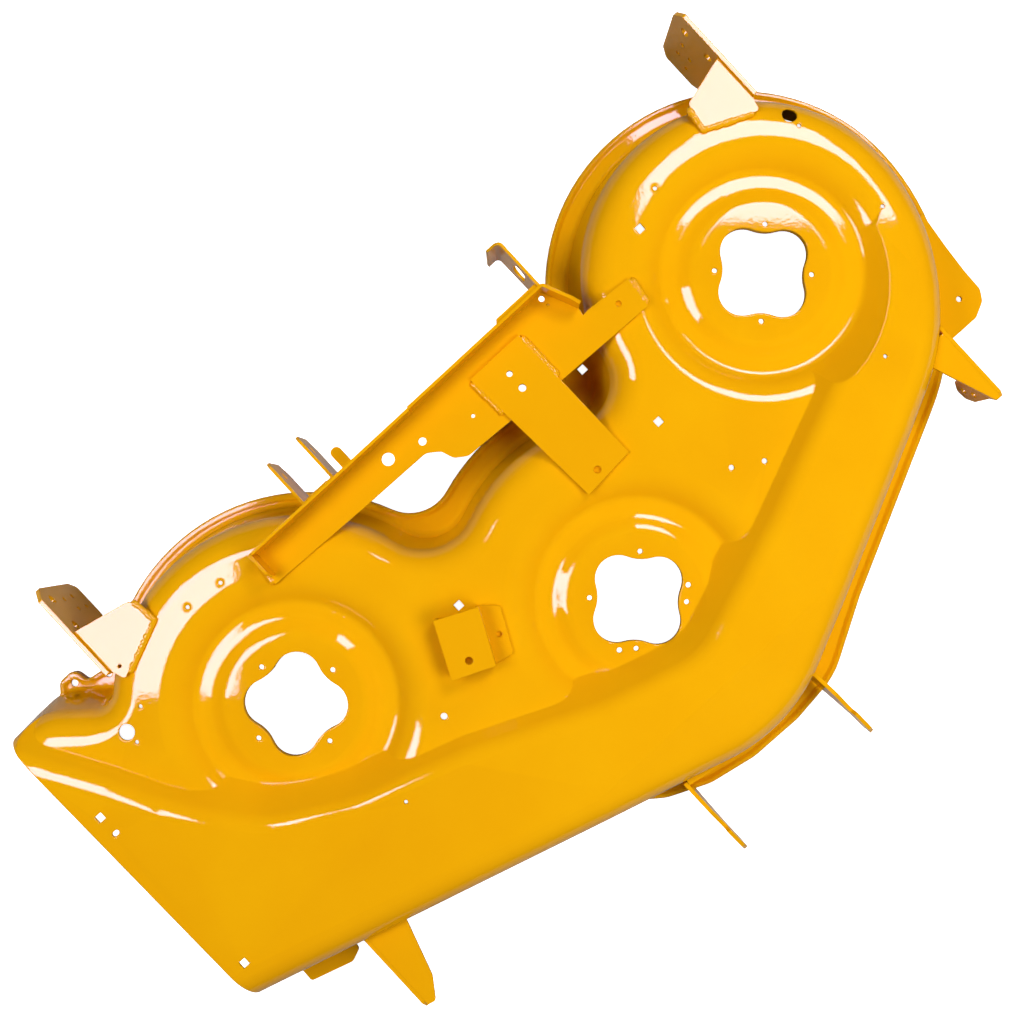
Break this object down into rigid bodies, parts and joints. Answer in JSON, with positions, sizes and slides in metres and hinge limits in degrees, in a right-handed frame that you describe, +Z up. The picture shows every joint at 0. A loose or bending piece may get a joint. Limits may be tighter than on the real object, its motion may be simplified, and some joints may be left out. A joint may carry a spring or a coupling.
{
  "type": "lawn mower deck",
  "caption": "Stamped deck shell of a riding mower, with spindle seats, rolled rim, side discharge mouth and welded lift, wheel, belt-guide and idler brackets.",
  "frame": {"origin": "centre of the object's box in plan, at the level of the lower rim", "axes": "+X to the driver's left, +Y to the rear of the machine, +Z up"},
  "size_m": [1.4003, 0.8939, 0.171],
  "materials": {
    "yellow_paint": "gloss powder coat"
  },
  "bodies": {
    "root": {"deck_shell": "yellow_paint", "rear_left_wheel_plate": "yellow_paint", "rear_right_wheel_plate": "yellow_paint", "rear_left_gusset": "yellow_paint", "rear_right_gusset": "yellow_paint", "front_left_wheel_plate": "yellow_paint", "front_left_gusset": "yellow_paint", "front_right_wheel_plate": "yellow_paint", "front_right_gusset": "yellow_paint", "mouth_front_tab": "yellow_paint", "left_side_plate": "yellow_paint", "front_lift_strap": "yellow_paint", "front_lift_ear_right": "yellow_paint", "front_lift_ear_left": "yellow_paint", "rear_cross_channel": "yellow_paint", "channel_end_plate": "yellow_paint", "idler_mount_plate": "yellow_paint", "rear_left_lift_lug": "yellow_paint", "lug_backing_bar": "yellow_paint", "rear_right_lift_clevis": "yellow_paint", "stop_tab": "yellow_paint", "belt_guide_bracket": "yellow_paint", "left_gusset_weld": "yellow_paint", "right_gusset_weld": "yellow_paint", "channel_tongue_weld": "yellow_paint", "channel_end_weld": "yellow_paint", "idler_weld_left": "yellow_paint", "idler_weld_right": "yellow_paint", "clevis_weld": "yellow_paint", "lug_weld": "yellow_paint"}
  },
  "joints": []
}
